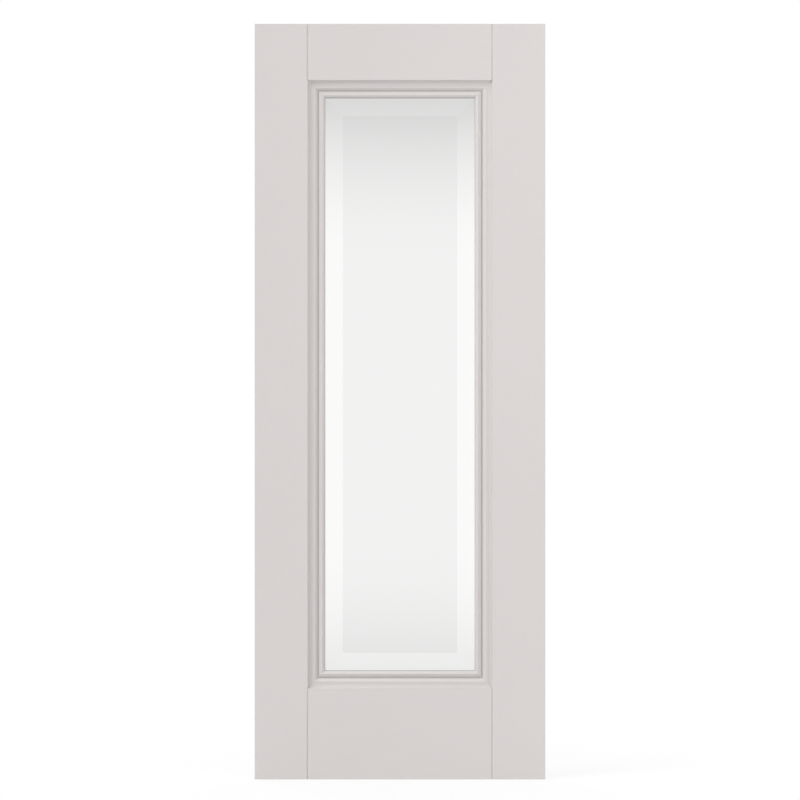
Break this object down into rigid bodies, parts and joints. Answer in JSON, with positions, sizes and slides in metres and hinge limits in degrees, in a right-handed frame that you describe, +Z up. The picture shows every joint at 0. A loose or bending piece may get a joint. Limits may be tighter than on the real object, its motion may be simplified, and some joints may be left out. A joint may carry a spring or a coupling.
{
  "type": "glazed interior door",
  "caption": "Interior door leaf with full-height stiles, a top rail and deeper bottom rail around a tall bevelled glass pane, held by coved mouldings and glazing beads.",
  "frame": {"origin": "foot of the hinge edge (the left edge seen from the front), at mid-thickness", "axes": "+X across the leaf to the lock edge, +Y through the leaf from its front face to its back, +Z up"},
  "size_m": [0.762, 0.035, 1.981],
  "materials": {
    "primed_face": "matte primer on moulded board",
    "primed_core": "matte primer on engineered timber",
    "primed_lipping": "matte primer on timber",
    "primed_moulding": "matte primer on moulded timber",
    "primed_bead": "matte primer on moulded timber",
    "clear_glass": "clear, polished bevel",
    "glazing_tape": "matte foam"
  },
  "bodies": {
    "root": {"left_stile_core": "primed_core", "left_stile_lipping": "primed_lipping", "left_stile_front_skin": "primed_face", "left_stile_back_skin": "primed_face", "right_stile_core": "primed_core", "right_stile_lipping": "primed_lipping", "right_stile_front_skin": "primed_face", "right_stile_back_skin": "primed_face", "top_rail_core": "primed_core", "top_rail_front_skin": "primed_face", "top_rail_back_skin": "primed_face", "bottom_rail_core": "primed_core", "bottom_rail_front_skin": "primed_face", "bottom_rail_back_skin": "primed_face", "front_moulding_left": "primed_moulding", "front_bead_left": "primed_bead", "front_tape_left": "glazing_tape", "front_moulding_right": "primed_moulding", "front_bead_right": "primed_bead", "front_tape_right": "glazing_tape", "front_moulding_top": "primed_moulding", "front_bead_top": "primed_bead", "front_tape_top": "glazing_tape", "front_moulding_bottom": "primed_moulding", "front_bead_bottom": "primed_bead", "front_tape_bottom": "glazing_tape", "back_moulding_left": "primed_moulding", "back_bead_left": "primed_bead", "back_tape_left": "glazing_tape", "back_moulding_right": "primed_moulding", "back_bead_right": "primed_bead", "back_tape_right": "glazing_tape", "back_moulding_top": "primed_moulding", "back_bead_top": "primed_bead", "back_tape_top": "glazing_tape", "back_moulding_bottom": "primed_moulding", "back_bead_bottom": "primed_bead", "back_tape_bottom": "glazing_tape", "glass_pane": "clear_glass"}
  },
  "joints": []
}
